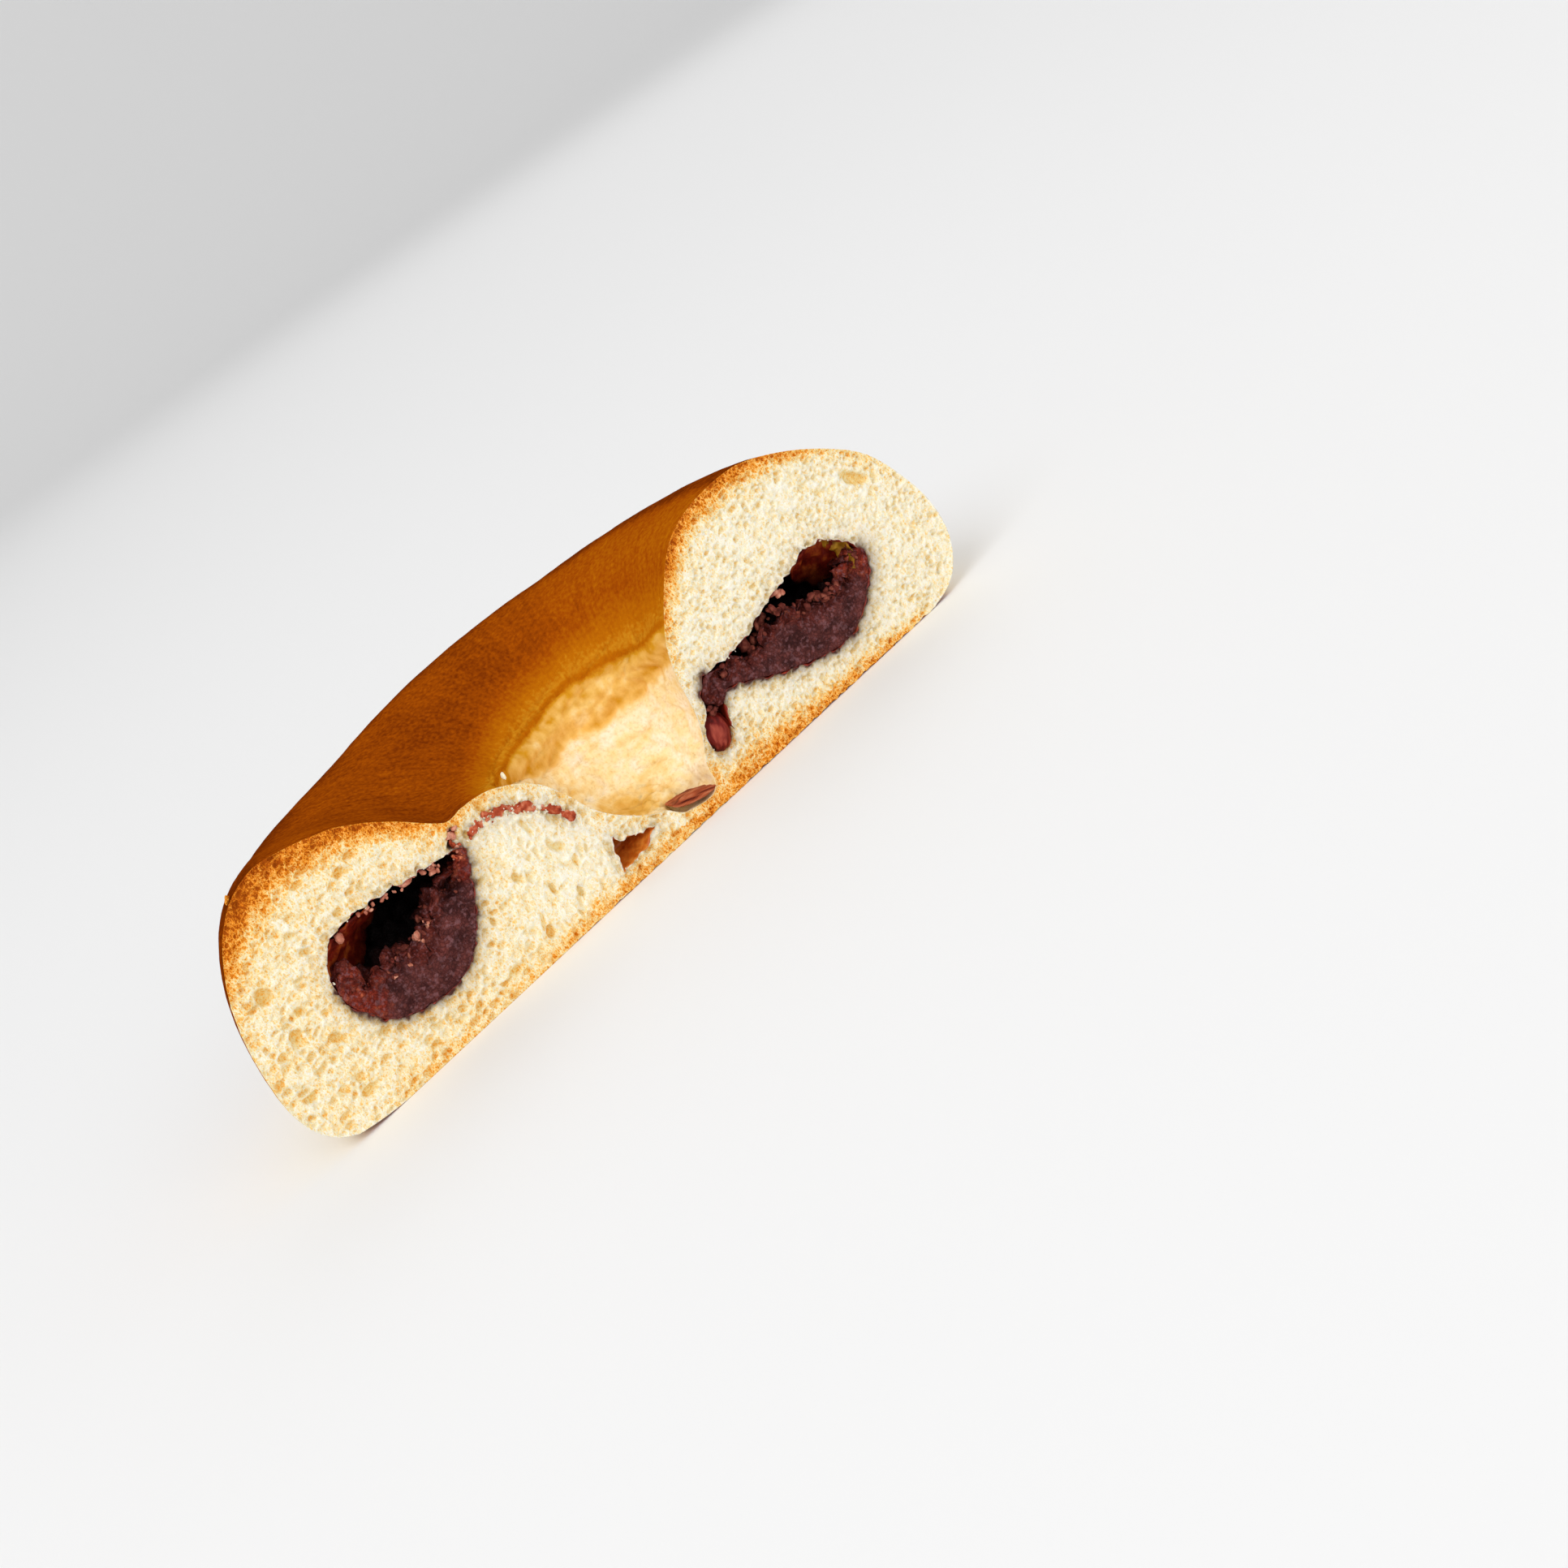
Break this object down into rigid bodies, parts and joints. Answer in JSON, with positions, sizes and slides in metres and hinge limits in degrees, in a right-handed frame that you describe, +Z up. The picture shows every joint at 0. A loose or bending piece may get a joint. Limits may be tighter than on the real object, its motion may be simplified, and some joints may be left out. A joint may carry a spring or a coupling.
{
  "type": "red bean bun half",
  "caption": "Half of a round baked bun with a deep dimple, cut through the middle, with dark red bean paste in a tunnel inside the crumb.",
  "frame": {"origin": "centre of the bounding box at the base, on the surface the half rests on", "axes": "+X along the cut towards the narrower lobe, +Y from the cut face into the half, +Z up"},
  "size_m": [0.1132, 0.0479, 0.0325],
  "materials": {
    "bread_crust": "baked bread, a thin glazed golden brown crust over cream-coloured open crumb",
    "bean_paste": "moist grainy dark purple-brown paste",
    "red_paste": "thin moist reddish paste",
    "loose_bean_skin": "folded reddish brown bean skin with a moist sheen",
    "bean_coat": "moist glossy dark red bean"
  },
  "bodies": {
    "root": {"bread": "bread_crust", "paste": "bean_paste", "paste_streak": "red_paste", "bean_skin": "loose_bean_skin", "bean": "bean_coat"}
  },
  "joints": []
}
